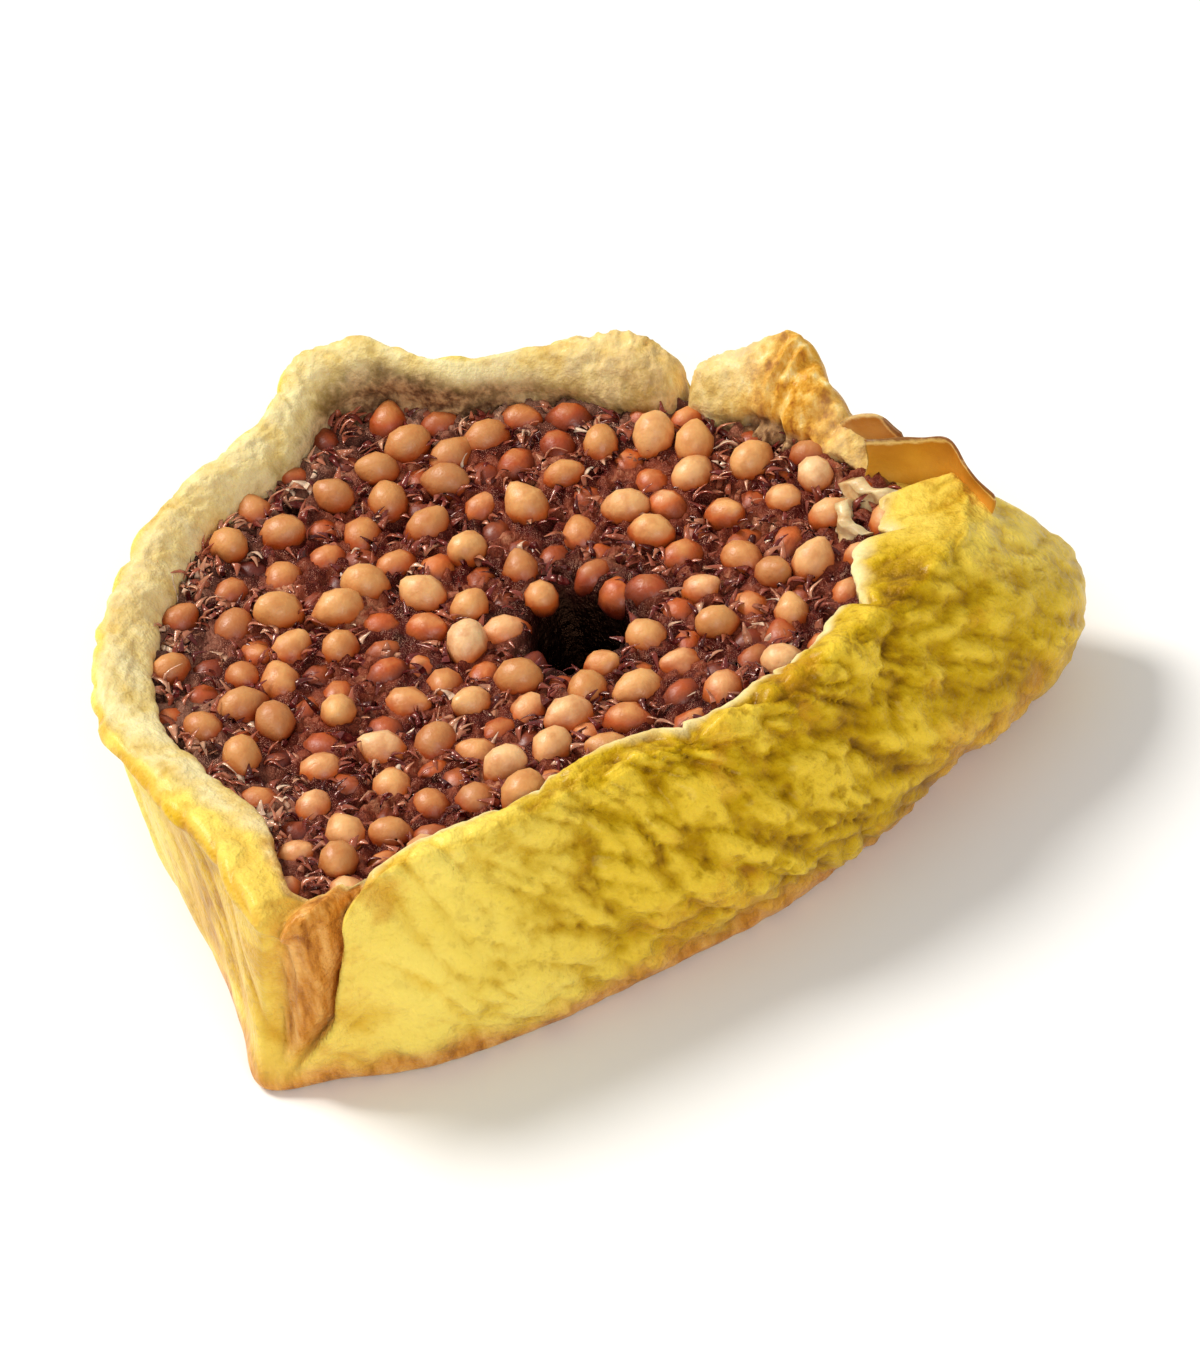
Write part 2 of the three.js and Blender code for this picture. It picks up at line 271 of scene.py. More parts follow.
def skinRelief(p, pleated):  # how far the wrinkles stand out, in mm, and how puffed up the skin is, later painted as light on the swellings and shade in the creases
    lean = Matrix.Rotation(0.05 * p.z, 3, "Z") @ p
    tall = Vector((lean.x, lean.y, lean.z * 0.6))
    warp = noise.noise_vector(tall * 0.3)
    lumps = noise.noise(tall * 0.17 + Vector((2, 8, 1)))
    puffs = puffy(tall * 0.4 + warp * 0.5)
    small = puffy(Vector((lean.x, lean.y, lean.z * 0.8)) * 0.8 + warp * 0.9)
    pebble = noise.noise(p * 2.0 + warp) + 0.6 * noise.noise(p * 4.2)
    upright = Matrix.Rotation(0.02 * p.z, 3, "Z") @ Vector((p.x, p.y, p.z * 0.12))
    pleats = puffy(upright * 0.55 + warp * 0.35)
    plain = 0.5 * lumps + 0.42 * puffs + 0.34 * small + 0.1 * pebble - 0.4
    height = mix(plain, 0.4 * lumps + 0.85 * pleats + 0.05 * pebble - 0.45, pleated)
    return height, mix(0.45 * puffs + 0.4 * small + 0.2 * pebble, 0.9 * pleats + 0.1 * small, pleated)


def pithRelief(p, torn, streaked):  # smooth where the edge is whole, pitted where torn, streaked at the peak
    pits = 0.2 * ridged(p * 1.5) + 0.12 * ridged(p * 3.6) - 0.1
    bearing = Vector((degreesOf(p) * 0.3, 0, p.z * 0.12))
    streaks = 0.5 * ridged(bearing + 0.3 * noise.noise_vector(p * 0.5)) - 0.25
    return 0.3 * noise.noise(p * 0.5) + mix(0.15, 0.7, torn) * mix(pits, pits * 0.6 + streaks, streaked)


def foldShape(angle, z):  # how far the skin stands out in the fold, in mm, and how far it is tongue
    below = fold["top"] - z
    left = fold["left"] - fold["leftLean"] * below + 0.5 * noise.noise(Vector((z * 0.4, 3, 0)))
    right = fold["right"] - fold["rightLean"] * below - fold["narrowing"] * max(0.0, 4.5 - z)
    right += 0.4 * noise.noise(Vector((z * 0.35, 9, 0)))
    inside = rise(left - 0.8, left + 1.6, angle) * (1 - rise(right - 0.4, right, angle))
    closed = rise(0.3, 3.0, z)  # the fold runs out towards the foot
    groove = 0.45 * bell(angle, left, 0.9) + 0.9 * bell(angle, right - 0.6, 0.5)
    edge = 0.4 * bell(angle, right + 0.9, 1.5)
    wander = angle * 0.55 + 0.12 * below + 0.5 * noise.noise(Vector((z * 0.4, 0, 0)))
    pleats = fold["pleats"] * ridged(Vector((wander, z * 0.1, 4)))
    swell = fold["swell"] * bell(angle, (left + right) / 2, 1.7)
    return closed * (edge - groove - inside * (fold["depth"] - pleats - swell)), inside * closed


def shapeRind():
    bm = bmesh.new()
    tube, middle = 1.0, 3.0
    bmesh.ops.create_circle(bm, segments=rind["across"], radius=tube,
                            matrix=Matrix.Translation((middle, 0, 0)) @ Matrix.Rotation(math.pi / 2, 4, "X"))
    bmesh.ops.spin(bm, geom=bm.verts[:] + bm.edges[:], axis=(0, 0, 1), cent=(0, 0, 0),
                   angle=full, steps=rind["around"], use_merge=True)
    bmesh.ops.remove_doubles(bm, verts=bm.verts, dist=1e-5)
    names = ("pith", "brown", "green", "puffShading", "inner", "gold")
    layers = {name: bm.verts.layers.float.new(name) for name in names}
    sections, spots = {}, {}
    for v in bm.verts:
        step = round(math.atan2(v.co.y, v.co.x) / full * rind["around"]) % rind["around"]
        lift = math.atan2(v.co.z, math.hypot(v.co.x, v.co.y) - middle)
        mark = round(lift / full * rind["across"]) % rind["across"]
        if step not in sections:
            sections[step] = sectionPoints(step / rind["around"])
        v.co = around(sections[step], mark / rind["across"])
        spots[v] = (step / rind["around"], mark / rind["across"] * sectionMarks)
    bmesh.ops.recalc_face_normals(bm, faces=bm.faces)
    bm.normal_update()
    for v in bm.verts:
        turn, mark = spots[v]
        angle = degreesOf(v.co)
        cream, rough = around(column["cream"], turn), around(column["rough"], turn)
        torn, gold = rise(0.1, 0.3, around(column["jag"], turn)), around(column["gold"], turn)
        torn = max(torn, 1.5 * rise(6.0, 6.8, mark))
        outside = 1 - rise(6.2, 7.5, mark) * (1 - rise(10.5, 12.5, mark))
        stands, tongue = foldShape(angle, v.co.z) if 215 < angle < 245 else (0.0, 0.0)
        span = around(ring["crest"], turn).length - around(ring["lip"], turn).length
        edgeMark = mix(6 - 1 / span, 3.4, cream) + 0.4 * noise.noise(v.co * 0.9)  # here skin turns to pith
        skin = 1 - rise(edgeMark - 0.3, edgeMark + 0.3, mark) * (1 - rise(11.4, 11.9, mark))
        height, puffShading = skinRelief(v.co, (1 - rise(0.25, 0.5, around(column["green"], turn))) * (1 - tongue))
        steady = 1 - 0.75 * bell(mark, 6, 0.8)  # the thin edge keeps its own shape
        steady *= (1 - 0.7 * tongue) * mix(1.0, 0.15, rise(9.5, 10.5, mark) * (1 - rise(12.0, 12.8, mark)))
        place = mark + 0.5 * noise.noise(v.co * 0.9)
        # painted shade under the back rim, partly the flesh's own grey-brown: the inner wall is painted dark
        # from here down
        shadedFlesh = rise(5.0, 6.2, place) * bell(angle, 108, 26)
        shadedFlesh += 0.4 * rise(4.3, 5.4, place) * bell(angle, 68, 13)
        v[layers["pith"]] = 1 - skin
        v[layers["inner"]] = max(rise(6.2, 7.1, place), shadedFlesh) * (1 - rise(9.5, 10.2, mark))
        band = (1 - rise(12.2, 13.0, mark + 0.4 * noise.noise(v.co * 0.5))) if mark > 10 else 0.0
        creases = 0.3 * (1 - rise(0.15, 0.6, puffShading)) * bell(angle, 207, 20)  # the left side is painted browner in its folds: painted shade in the creases
        ruddy = 0.6 * bell(angle, 338, 12) * (1 - rise(3.0, 5.5, v.co.z + 1.5 * noise.noise(v.co * 0.4)))
        peak = 0.7 * bell(angle, 33, 10)
        v[layers["brown"]] = max(tongue * rise(-1.0, 4.0, v.co.z), 0.95 * band, creases, ruddy, peak)
        v[layers["green"]] = around(column["green"], turn)
        v[layers["gold"]] = gold
        # painted light and shade on the skin: lighter round 258 degrees, darker round 327, darker low on the
        # left side round 212 and along the green crest
        paintedShading = 0.1 * bell(angle, 258, 18) - 0.08 * bell(angle, 327, 30)
        below = max(1 - rise(3.2, 4.2, mark), rise(12.6, 13.6, mark))  # below the edge, down to the foot
        paintedShading -= 0.45 * bell(angle, 212, 14) * below
        paintedShading -= 0.16 * around(column["green"], turn) * bell(mark, 4.4, 1.0)
        v[layers["puffShading"]] = mix(0.6, puffShading, min(1.0, rough)) + paintedShading
        move = steady * (skin * height * rough + (1 - skin) * pithRelief(v.co, torn, rise(0.5, 0.9, gold)))
        spots[v] = v.normal * move + Vector((v.co.x, v.co.y, 0)).normalized() * stands * outside
    for v, move in spots.items():
        v.co += move
    return bm


def finishPiece(bm, name, material, centre):
    for v in bm.verts:  # what stands on the floor is flat there
        v.co.z = max(0.0, v.co.z)
    bmesh.ops.translate(bm, verts=bm.verts, vec=(-centre.x, -centre.y, 0))
    bmesh.ops.scale(bm, verts=bm.verts, vec=(mm, mm, mm))
    mesh = bpy.data.meshes.new(name)
    for face in bm.faces:
        face.smooth = True
    bm.to_mesh(mesh)
    bm.free()
    piece = bpy.data.objects.new(name, mesh)
    bpy.context.collection.objects.link(piece)
    mesh.materials.append(material)
    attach(piece, "root")
    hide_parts(node)
    print(name, "made,", len(mesh.polygons), "faces")


def rindMaterial():
    material, tree, shader, place = newMaterial("driedFigSkin")
    blotch = noiseNode(tree, place, 7, 4)
    mottle = noiseNode(tree, place, 1.6, 4, 0.6)
    grain = noiseNode(tree, place, 0.4, 3, 0.6)
    upright = addNode(tree, "ShaderNodeMapping", {"Vector": place, "Scale": (1, 1, 0.25)}).outputs["Vector"]
    streaks = noiseNode(tree, upright, 0.7, 4, 0.6)
    keys = ("green", "brown", "puffShading", "pith", "inner", "gold")
    green, brown, puffShading, pith, inner, gold = (attributeNode(tree, key) for key in keys)
    # painted light and shade: the skin is painted paler on its swellings and darker in its creases
    lit = mathNode(tree, "ADD", puffShading, mathNode(tree, "MULTIPLY", mottle, 0.7))
    golden = rampNode(tree, lit, [(0.3, "#AC7608"), (0.5, "#E2B628"), (0.85, "#FAE06A")])
    greenish = rampNode(tree, lit, [(0.3, "#6E4C00"), (0.5, "#A67E00"), (0.7, "#C6A00C"),
                                    (0.95, "#EAC638")])
    spread = mathNode(tree, "MULTIPLY", blotch, 1.2)
    howGreen = rangeNode(tree, mathNode(tree, "ADD", green, spread), 0.75, 1.4)
    skin = mixNode(tree, howGreen, golden, greenish)
    deeper = rampNode(tree, lit, [(0.3, "#94580E"), (0.6, "#CC9620"), (0.9, "#E8BC48")])
    skin = mixNode(tree, mathNode(tree, "MULTIPLY", gold, 0.9), skin, deeper)
    patch = rangeNode(tree, noiseNode(tree, place, 5, 5, 0.65), 0.54, 0.68, 0.0, 0.55)
    skin = mixNode(tree, patch, skin, "#CC8C20")
    speck = rangeNode(tree, noiseNode(tree, place, 0.8, 3, 0.6), 0.32, 0.46, 0.5, 0.0)
    skin = mixNode(tree, mathNode(tree, "MULTIPLY", speck, green), skin, "#8E6208")
    tan = rampNode(tree, streaks, [(0.3, "#8E4C10"), (0.46, "#CC8634"), (0.66, "#ECB262")])
    skin = mixNode(tree, brown, skin, tan)
    cream = rampNode(tree, mottle, [(0.28, "#CCAA58"), (0.42, "#E8D088"), (0.6, "#F4E6AC")])
    amber = rampNode(tree, streaks, [(0.36, "#A86018"), (0.48, "#DC9C30"), (0.6, "#F2C468"),
                                     (0.7, "#FAE4A8")])
    cream = mixNode(tree, gold, cream, amber)
    coarse, fine = mathNode(tree, "MULTIPLY", mottle, 0.6), mathNode(tree, "MULTIPLY", grain, 0.4)
    fuzz = mathNode(tree, "ADD", coarse, fine)
    # the inner wall's dark grey-brown: the flesh's own colour with painted shade under the rim
    shadedFlesh = rampNode(tree, fuzz, [(0.38, "#4A2E20"), (0.48, "#7E5A3E"), (0.6, "#BC9468")])
    colour = mixNode(tree, pith, skin, mixNode(tree, inner, cream, shadedFlesh))
    tree.links.new(colour, shader.inputs["Base Color"])
    rough = rangeNode(tree, grain, 0.3, 0.7, 0.3, 0.46)
    rough = mathNode(tree, "ADD", rough, mathNode(tree, "MULTIPLY", pith, 0.28))
    tree.links.new(rough, shader.inputs["Roughness"])
    softer = rangeNode(tree, pith, 0.0, 1.0, 1.0, 0.5)
    normal = bumpNode(tree, mathNode(tree, "MULTIPLY", mottle, softer), 0.3)
    normal = bumpNode(tree, grain, 0.09, normal)
    tree.links.new(normal, shader.inputs["Normal"])
    shader.inputs["Specular IOR Level"].default_value = 0.25
    shader.inputs["Specular Tint"].default_value = srgb("#F2B42C")
    shader.inputs["Coat Weight"].default_value = 0.1
    shader.inputs["Coat Roughness"].default_value = 0.16
    shader.inputs["Subsurface Weight"].default_value = 0.12
    shader.inputs["Subsurface Radius"].default_value = (1.0, 0.7, 0.2)
    shader.inputs["Subsurface Scale"].default_value = 0.6 * mm
    return material


# Thin sheets of dried flesh that stand up on the rim. Each has the plan of its top edge, from left to
# right as the camera sees it, the heights of that edge, its thickness and how pale it is.
flap = {
    "sheets": (
        {"plan": ((13.5, 3.9), (15.3, 3.5), (16.9, 2.6), (17.6, 1.3), (18.4, 0.0)),
         "top": (11.4, 11.4, 11.6, 10.8, 10.1), "thick": 0.09, "pale": 0.0},
        {"plan": ((12.6, 6.3), (13.2, 5.6), (14.2, 5.2), (15.2, 4.6)), "top": (10.6, 11.4, 11.6, 10.8),
         "thick": 0.12, "pale": 0.15},
        {"plan": ((12.2, 3.6), (12.4, 2.5), (13.2, 1.8), (14.2, 1.6)), "top": (9.7, 10.2, 10.2, 9.9),
         "thick": 0.7, "pale": 1.0},
        {"plan": ((12.1, 2.4), (11.6, 1.5), (11.8, 0.5), (12.5, 0.1)), "top": (9.4, 9.8, 9.7, 9.3),
         "thick": 0.6, "pale": 1.0},
    ),
    "bottom": 8.2, "lean": 0.35,
    "along": 40, "upwards": 14,
}


def openCurve(points, share):  # smooth curve through points, from the first to the last
    place = min(share, 0.9999) * (len(points) - 1)
    i, f = int(place), place - int(place)
    last = len(points) - 1
    a, b, c, d = (points[min(last, max(0, i + k - 1))] for k in range(4))
    return splineValue(a, b, c, d, f)


def shapeFlaps():
    bm = bmesh.new()
    streakAndShade = bm.verts.layers.float.new("streakAndShade")
    pale = bm.verts.layers.float.new("pale")
    for sheet in flap["sheets"]:
        before = set(bm.verts)
        bmesh.ops.create_grid(bm, x_segments=flap["along"], y_segments=flap["upwards"], size=0.5)
        fresh = [v for v in bm.verts if v not in before]
        faces = [f for f in bm.faces if f.verts[0] not in before]
        plan = [Vector((x, y, 0)) for x, y in sheet["plan"]]
        for v in fresh:
            along, upwards = v.co.x + 0.5, v.co.y + 0.5
            top = openCurve(sheet["top"], along)
            z = mix(flap["bottom"], top, upwards)
            spot = openCurve(plan, along)
            spot = beside(spot, -flap["lean"] * (1 - upwards) * 2 + 0.5 * math.sin(upwards * 2.6), z)
            # each sheet is painted darker towards its right end: painted shade where it curves in behind the
            # near wall
            v[streakAndShade] = upwards + 0.12 * rise(0.6, 1.0, along)
            v[pale] = sheet["pale"]
            crumple = noise.noise_vector(spot * 1.5) * 0.27 * sheet["pale"]
            v.co = spot + noise.noise_vector(spot * 0.7) * 0.18 + crumple
        grown = bmesh.ops.extrude_face_region(bm, geom=faces, use_keep_orig=True)["geom"]
        back = [g for g in grown if isinstance(g, bmesh.types.BMVert)]
        for v in back:
            v.co = beside(v.co, sheet["thick"], v.co.z)
    bmesh.ops.recalc_face_normals(bm, faces=bm.faces)
    return bm


def flapMaterial():
    material, tree, shader, place = newMaterial("driedFleshSheet")
    streakAndShade = attributeNode(tree, "streakAndShade")
    mottle = noiseNode(tree, place, 1.2, 4, 0.6)
    spread = mathNode(tree, "MULTIPLY", mottle, 0.24)
    height = mathNode(tree, "ADD", mathNode(tree, "MULTIPLY", streakAndShade, 0.8), spread)
    colour = rampNode(tree, height, [(0.25, "#DC9E30"), (0.6, "#D29030"), (0.84, "#BC7820"),
                                     (0.88, "#F0C880"), (0.93, "#84501E")])
    cream = rampNode(tree, mottle, [(0.35, "#C0925A"), (0.6, "#ECD4A0")])
    colour = mixNode(tree, attributeNode(tree, "pale"), colour, cream)
    tree.links.new(colour, shader.inputs["Base Color"])
    tree.links.new(bumpNode(tree, mottle, 0.1), shader.inputs["Normal"])
    shader.inputs["Roughness"].default_value = 0.35
    shader.inputs["Subsurface Weight"].default_value = 0.15
    shader.inputs["Subsurface Radius"].default_value = (1.0, 0.6, 0.2)
    shader.inputs["Subsurface Scale"].default_value = 0.6 * mm
    return material


pulp = {
    "level": 8.9,  # where it meets the rind
    "dish": 0.9,  # how much lower it is in the middle
    "underside": 1.6,
    "hidden": 1.9,  # no hidden part is lower than this
    "hollow": (-0.3, -0.7), "hollowWidth": (2.0, 2.8), "hollowDepth": 5.3,
    "step": 0.17, "lowerStep": 0.3,  # size of one face
    "reach": 1.6,  # how far it goes in under the lip
    "collar": 0.35,  # it is drawn up round each seed
}


def pulpLevel(x, y):
    share = min(1.0, math.hypot(x, y) / ringAt("lip", x, y))
    return pulp["level"] - pulp["dish"] * (1 - share ** 2) + 0.35 * noise.noise(Vector((x, y, 0)) * 0.16)


def lowerLevel(x, y):
    return pulp["underside"]


def hollowAway(x, y):  # distance from the hollow's middle, 1 at its edge
    (middleX, middleY), (wideX, wideY) = pulp["hollow"], pulp["hollowWidth"]
    away = Vector(((x - middleX) / wideX, (y - middleY) / wideY, 0))
    wobble = 1 + 0.3 * noise.noise(away.normalized() * 1.3 + Vector((4, 0, 0)))
    return away.length / wobble


def hollowShare(x, y):  # 1 inside the hollow, 0 outside
    return 1 - rise(0.55, 1.15, hollowAway(x, y))


def hollowDusk(x, y, up):  # 1 beside the hollow, where the upper pulp is darkest
    return 1 - rise(1.0, 2.3, hollowAway(x, y)) if up > 0 else 0.0


def noHollow(x, y):
    return 0.0


def pulpRelief(p):
    warp = noise.noise_vector(p * 0.7) * 0.8
    return 0.3 * ridged(p * 0.7 + warp) + 0.26 * ridged(p * 1.9 + warp) + 0.14 * ridged(p * 4.2)


def shapePulp(seeds, edge, level, spare, up, step):
    bm = bmesh.new()
    wide, deep = 2 * halfLength, 2 * halfWidth
    bmesh.ops.create_grid(bm, x_segments=int(wide / step), y_segments=int(deep / step), size=0.5,
                          matrix=Matrix.Diagonal((wide, deep, 1, 1)))
    outside = [v for v in bm.verts if v.co.length > edge(v.co.x, v.co.y)]
    bmesh.ops.delete(bm, geom=outside, context="VERTS")
    bmesh.ops.delete(bm, geom=[v for v in bm.verts if not v.link_faces], context="VERTS")
    layers = {name: bm.verts.layers.float.new(name) for name in ("deep", "dry", "hole")}
    grown = bmesh.ops.extrude_face_region(bm, geom=bm.faces[:], use_keep_orig=True)["geom"]
    skin = {g for g in grown if isinstance(g, bmesh.types.BMVert)}
    tree = KDTree(len(seeds))
    for i, one in enumerate(seeds):
        tree.insert((one["place"].x, one["place"].y, 0), i)
    tree.balance()
    for v in bm.verts:
        x, y = v.co.x, v.co.y
        if v not in skin:  # the hidden side
            depth = up * 1.4 + (pulp["hollowDepth"] + 0.6) * min(1.0, 3 * spare(x, y))
            v.co.z = max(pulp["hidden"], level(x, y) - depth)
            # painted shade: the hidden side is painted near black
            v[layers["hole"]] = 1.0
            continue
        near = tree.find((x, y, 0))[2]
        bump = pulpRelief(Vector((x, y, 0 if up > 0 else 30))) - 0.3
        height = bump + pulp["collar"] * bell(near, 0.95, 0.35) - 0.45 * rise(1.1, 1.9, near)
        hole = spare(x, y)
        v.co.z = level(x, y) + up * height * (1 - 0.2 * hole) - pulp["hollowDepth"] * hole
        rim = rise(0.75, 1.0, math.hypot(x, y) / ringAt("lip", x, y))
        back = rise(-0.3, 0.6, (y - x) / 20)
        # painted shade in the low pulp between the seeds and in the hollow; the pulp beside the hollow is
        # darker too
        v[layers["deep"]] = max(hole, 1 - rise(-0.6, 0.2, height), 0.6 * hollowDusk(x, y, up))
        # painted shade: the hollow's walls are painted near black
        v[layers["hole"]] = rise(0.0, 0.2, hole)
        v[layers["dry"]] = rim * back
    bmesh.ops.recalc_face_normals(bm, faces=bm.faces)
    return bm


def pulpMaterial():
    material, tree, shader, place = newMaterial("driedFigPulp")
    deep, dry, hole = (attributeNode(tree, key) for key in ("deep", "dry", "hole"))
    blotch = noiseNode(tree, place, 2.2, 5, 0.65)
    grain = noiseNode(tree, place, 0.4, 4, 0.65)
    flesh = rampNode(tree, blotch, [(0.3, "#240608"), (0.46, "#501412"), (0.6, "#883E28"), (0.72, "#CC8C68")])
    brown = rampNode(tree, blotch, [(0.3, "#2E1A1C"), (0.5, "#6E4A3C"), (0.7, "#B08C76")])
    flesh = mixNode(tree, mathNode(tree, "MULTIPLY", dry, 0.8), flesh, brown)
    # painted shade: the dark ramp goes where the pulp lies deep
    dark = rampNode(tree, grain, [(0.35, "#0E0204"), (0.65, "#340C10")])
    colour = mixNode(tree, rangeNode(tree, deep, 0.0, 0.7), flesh, dark)
    # painted shade: the hollow and the hidden side are near black
    colour = mixNode(tree, hole, colour, "#080101")
    tree.links.new(colour, shader.inputs["Base Color"])
    tree.links.new(rangeNode(tree, blotch, 0.4, 0.6, 0.1, 0.4), shader.inputs["Roughness"])
    tree.links.new(bumpNode(tree, grain, 0.3), shader.inputs["Normal"])
    shader.inputs["Specular Tint"].default_value = srgb("#FFB488")
    shader.inputs["Subsurface Weight"].default_value = 0.1
    shader.inputs["Subsurface Radius"].default_value = (1.0, 0.3, 0.2)
    shader.inputs["Subsurface Scale"].default_value = 0.6 * mm
    return material


seed = {
    "length": 2.35, "width": 1.98,
    "gap": (1.85, 2.55), "closer": 0.2,  # how near two middles come, and how much nearer at the right
    "buriedGap": 1.45,
    "lift": (-0.4, 0.45), "buriedLift": (-0.75, -0.5),  # how far it stands out of the pulp
    "underLip": 0.6,  # how much deeper it lies under the lip
    "upper": 185, "upperBuried": 120, "lower": 110, "lowerBuried": 40, "tries": 9000,
    "segments": 10, "rings": 7,
}


def placeSeeds(counts, edge, level, rng, spare, up):  # first those in view, then those sunk between them
    places = []
    for buried, count in enumerate(counts):
        left = count
        for _ in range(seed["tries"]):
            x, y = rng.uniform(-halfLength, halfLength), rng.uniform(-halfWidth, halfWidth)
            if not left:
                break
            if math.hypot(x, y) > edge(x, y) or spare(x, y) > 0.02:
                continue
            spread = rng.uniform(*seed["gap"]) - seed["closer"] * rise(-8, 8, x + y)
            gap = seed["buriedGap"] if buried else spread
            if all((x - other["place"].x) ** 2 + (y - other["place"].y) ** 2 > gap * gap for other in places):
                lift = rng.uniform(*seed["buriedLift" if buried else "lift"])
                lift -= seed["underLip"] * rise(-1.3, 0.0, math.hypot(x, y) - ringAt("lip", x, y))
                place = Vector((x, y, level(x, y) + up * (0.25 + lift)))
                places.append({"place": place, "lift": lift, "buried": buried})
                left -= 1
    return places


def shapeSeed():
    bm = bmesh.new()
    bmesh.ops.create_uvsphere(bm, u_segments=seed["segments"], v_segments=seed["rings"], radius=0.5)
    bmesh.ops.scale(bm, verts=bm.verts, vec=(seed["width"], seed["width"] * 0.94, seed["length"]))
    for v in bm.verts:  # one end comes to a blunt point
        taper = 1 - 0.35 * rise(0.0, seed["length"] * 0.5, v.co.z) ** 1.5
        v.co.x *= taper
        v.co.y *= taper
    mesh = bpy.data.meshes.new("seedShape")
    bm.to_mesh(mesh)
    bm.free()
    return mesh


def shapeSeeds(seeds, rng, up):
    one = shapeSeed()
    bm = bmesh.new()
    tint = bm.verts.layers.float.new("tint")
    shadeAndRed = bm.verts.layers.float.new("shadeAndRed")
    size = len(one.vertices)
    for spot in seeds:
        bm.from_mesh(one)
        bm.verts.ensure_lookup_table()
        lie = Matrix.Rotation(rng.uniform(0.7, 2.2), 4, "Y")
        turn = Matrix.Rotation(rng.uniform(0, full), 4, "Z")
        scale = rng.uniform(0.86, 1.08)
        far = spot["place"].length / ringAt("lip", spot["place"].x, spot["place"].y)
        # seeds near the back rim get darker, duller tints
        nearBackRim = rise(0.6, 1.0, far) * rise(0, 12, spot["place"].y - spot["place"].x)
        colour = rng.random() * (1 - 0.8 * nearBackRim)
        redness = rng.uniform(0.9, 1.0) if spot["buried"] else rng.random()
        shift = Vector((rng.uniform(0, 90), 0, 0))
        for v in bm.verts[-size:]:
            local = v.co.copy()
            dent = noise.noise(local * 1.1 + shift) * 0.07
            spun = turn @ lie @ (local * scale * (1 + dent))
            v[tint] = colour
            # painted shade: each seed is painted darker and redder towards its lower, sunk side, with the
            # red-brown of seed wet with pulp; some buried seeds are redder still
            sunk = spun.z * up + spot["lift"] * 0.9 + 0.2 * noise.noise(spun * 1.6 + shift)
            v[shadeAndRed] = max(1 - rise(-0.6, 0.95, sunk), rise(0.86, 1.0, redness) * (1 - rise(0.0, 1.2, sunk)))
            v.co = spun + spot["place"]
    return bm


def seedMaterial():
    material, tree, shader, place = newMaterial("figSeed")
    tint, shadeAndRed = attributeNode(tree, "tint"), attributeNode(tree, "shadeAndRed")
    blotch = noiseNode(tree, place, 0.9, 3)
    fine = noiseNode(tree, place, 0.25, 2)
    tan = rampNode(tree, tint, [(0.0, "#BE7E48"), (0.2, "#D69654"), (0.5, "#E7AC68"), (0.8, "#F1BE82"),
                                (1.0, "#F7D09C")])
    tan = mixNode(tree, rangeNode(tree, blotch, 0.4, 0.7, 0.0, 0.5), tan, "#BC6A26")
    # painted shade on each seed's lower side, with the red-brown where it sinks into the pulp
    colour = rampNode(tree, shadeAndRed, [(0.0, "#FFFFFF"), (0.45, "#D88C54"), (1.0, "#6E2810")])
    colour = mixNode(tree, 1.0, tan, colour, "MULTIPLY")
    tree.links.new(colour, shader.inputs["Base Color"])
    tree.links.new(rangeNode(tree, fine, 0.3, 0.7, 0.38, 0.56), shader.inputs["Roughness"])
    tree.links.new(bumpNode(tree, fine, 0.04), shader.inputs["Normal"])
    shader.inputs["Subsurface Weight"].default_value = 0.2
    shader.inputs["Subsurface Radius"].default_value = (1.0, 0.5, 0.25)
    shader.inputs["Subsurface Scale"].default_value = 0.5 * mm
    return material


# What is left of the florets: small curled flakes that stand round the seeds, shreds along the rim and
# thin strands between.
strand = {
    "upper": 1700, "lower": 450,
    "sides": 5, "steps": 6,
    "length": (0.8, 2.2), "radius": (0.03, 0.07),
    "flakes": 0.7, "flakeLength": (0.7, 1.4), "flakeWidth": (0.1, 0.24), "flakeAway": (0.9, 1.25),
    # shreds along the rind's inner edge, between two angles and up to some mm in from it
    "fringe": 0.12, "fringeAngles": (95, 222), "fringeIn": 0.9,
    "fringeLength": (0.8, 1.7), "fringeWidth": (0.12, 0.32),
    "clear": 0.7,  # how near its middle and tip come to a seed's middle
}


def shapeStrand():
    bm = bmesh.new()
    bmesh.ops.create_circle(bm, cap_ends=True, segments=strand["sides"], radius=1.0)
    top = bm.faces[:]
    for _ in range(strand["steps"]):
        grown = bmesh.ops.extrude_face_region(bm, geom=top)["geom"]
        verts = [g for g in grown if isinstance(g, bmesh.types.BMVert)]
        top = [g for g in grown if isinstance(g, bmesh.types.BMFace)]
        bmesh.ops.translate(bm, verts=verts, vec=(0, 0, 1 / strand["steps"]))
    for v in bm.verts:  # widest a third of the way along
        wide = 0.15 + 0.85 * math.sin(math.pi * min(1.0, v.co.z) ** 0.7)
        v.co.x *= wide
        v.co.y *= wide
    bmesh.ops.recalc_face_normals(bm, faces=bm.faces)
    mesh = bpy.data.meshes.new("strandShape")
    bm.to_mesh(mesh)
    bm.free()
    return mesh


